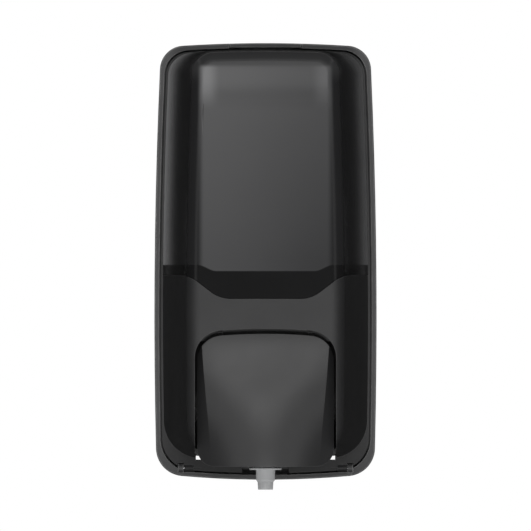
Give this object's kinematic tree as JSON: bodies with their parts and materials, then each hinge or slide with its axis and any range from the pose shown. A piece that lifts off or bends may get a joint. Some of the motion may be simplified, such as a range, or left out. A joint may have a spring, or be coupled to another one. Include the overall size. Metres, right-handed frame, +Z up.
{
  "type": "wall mounted soap dispenser",
  "caption": "Tall rounded wall dispenser for liquid soap: hinged cover with a smoked upper window, push lever below and a nozzle at the bottom.",
  "frame": {"origin": "centre of the four wall screw slots, on the wall's surface", "axes": "+X to the right seen from the front, +Y into the wall, +Z up; the front faces -Y"},
  "size_m": [0.142, 0.1127, 0.2845],
  "materials": {
    "black_plate": "black ABS, fine satin",
    "black_cover": "black ABS, fine spark texture",
    "black_lever": "black ABS, smooth satin",
    "black_inner": "black ABS, plain moulded",
    "smoked_window": "smoked clear plastic, polished",
    "bottle_plastic": "dark grey polyethylene",
    "cap_plastic": "grey white polypropylene",
    "pump_plastic": "natural polypropylene",
    "nozzle_plastic": "natural translucent polypropylene",
    "grey_acetal": "black acetal",
    "gasket_rubber": "matte",
    "screen_mesh": "fine woven nylon",
    "pin_steel": "bright ground steel",
    "screw_steel": "zinc plated",
    "spring_steel": "stainless spring wire"
  },
  "bodies": {
    "base": {"back_plate": "black_plate", "refill_carrier": "black_inner", "carrier_screws": "screw_steel", "hinge_pins": "pin_steel", "latch_guide": "black_inner", "latch_screws": "screw_steel", "latch_spring": "spring_steel", "refill_bottle": "bottle_plastic", "neck_gasket": "gasket_rubber", "bottle_cap": "cap_plastic", "pump_housing": "pump_plastic", "inlet_ball": "pin_steel", "pump_spring": "spring_steel"},
    "button": {"release_button": "black_plate"},
    "cover": {"front_cover": "black_cover", "window": "smoked_window", "latch_keeper": "black_inner", "lever_axle": "pin_steel", "axle_clips": "spring_steel", "lever_spring": "spring_steel"},
    "lever": {"push_lever": "black_lever", "lever_yoke": "grey_acetal", "yoke_screws": "screw_steel"},
    "nozzle": {"pump_nozzle": "nozzle_plastic", "pump_piston": "pump_plastic", "foam_screen": "screen_mesh"}
  },
  "joints": [
    {"name": "cover_hinge", "type": "hinge", "parent": "base", "child": "cover", "pos_m": [0, -0.0138, -0.132], "axis": [1, 0, 0], "range_deg": [0, 90]},
    {"name": "lever_pivot", "type": "hinge", "parent": "cover", "child": "lever", "pos_m": [0, -0.09, -0.06], "axis": [1, 0, 0], "range_deg": [0, 12], "stiffness_Nm_per_rad": 0.6, "springref_deg": -14.32, "deforming": ["lever_spring"]},
    {"name": "pump_stroke", "type": "slide", "parent": "base", "child": "nozzle", "axis": [0, 0, 1], "range_m": [0, 0.0066], "stiffness_N_per_m": 150, "springref_m": -0.004, "deforming": ["pump_spring"]},
    {"name": "button_slide", "type": "slide", "parent": "base", "child": "button", "axis": [0, 0, -1], "range_m": [0, 0.0016], "stiffness_N_per_m": 400, "springref_m": -0.002, "deforming": ["latch_spring"]}
  ],
  "couplings": [
    {"joint": "pump_stroke", "follows": "lever_pivot", "m_per_rad": 0.031}
  ]
}
